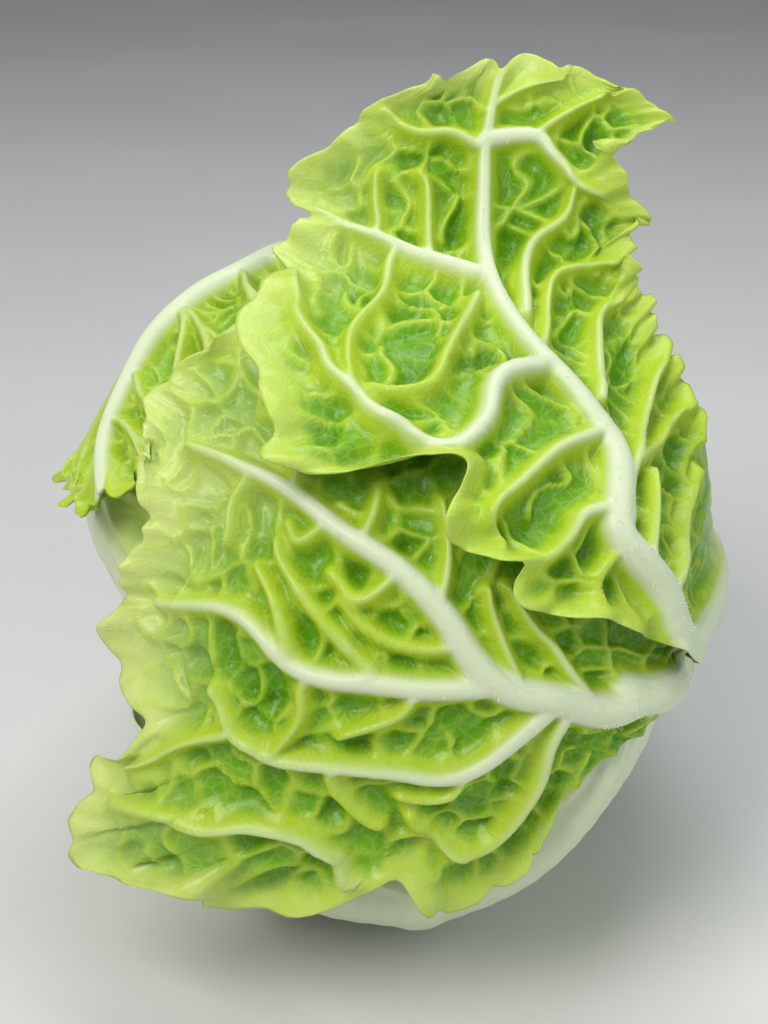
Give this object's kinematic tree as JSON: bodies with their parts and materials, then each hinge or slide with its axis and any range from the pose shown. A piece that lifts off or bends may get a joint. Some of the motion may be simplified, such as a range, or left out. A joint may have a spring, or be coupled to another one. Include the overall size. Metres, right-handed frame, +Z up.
{
  "type": "napa cabbage",
  "caption": "A head of napa cabbage lying on its side: deeply puckered green leaves with broad white ribs wrap a packed heart, and the frilled ends of the outer leaves stand away from the crown.",
  "frame": {"origin": "middle of the whole part's box in X and Y, at the table", "axes": "+Y from the leafy crown to the cut stem, +Z up from the table, +X to the right as seen from the crown"},
  "size_m": [0.1992, 0.2782, 0.2479],
  "materials": {
    "face_leaf": "glossy puckered green leaf blade with white ribs and paler margins",
    "wrapper_leaf": "satin pale green leaf blade with a broad white rib",
    "heart": "satin yellow-green packed leaves",
    "stem": "matt cream cut stem"
  },
  "bodies": {
    "root": {"leaf_top_left": "wrapper_leaf", "leaf_top_right": "wrapper_leaf", "leaf_lower_left": "wrapper_leaf", "leaf_lower_right": "wrapper_leaf", "leaf_right": "wrapper_leaf", "leaf_left": "wrapper_leaf", "leaf_shoulder": "wrapper_leaf", "leaf_under": "wrapper_leaf", "leaf_lower_face": "face_leaf", "leaf_upper_face": "face_leaf", "heart": "heart", "stem": "stem"}
  },
  "joints": []
}
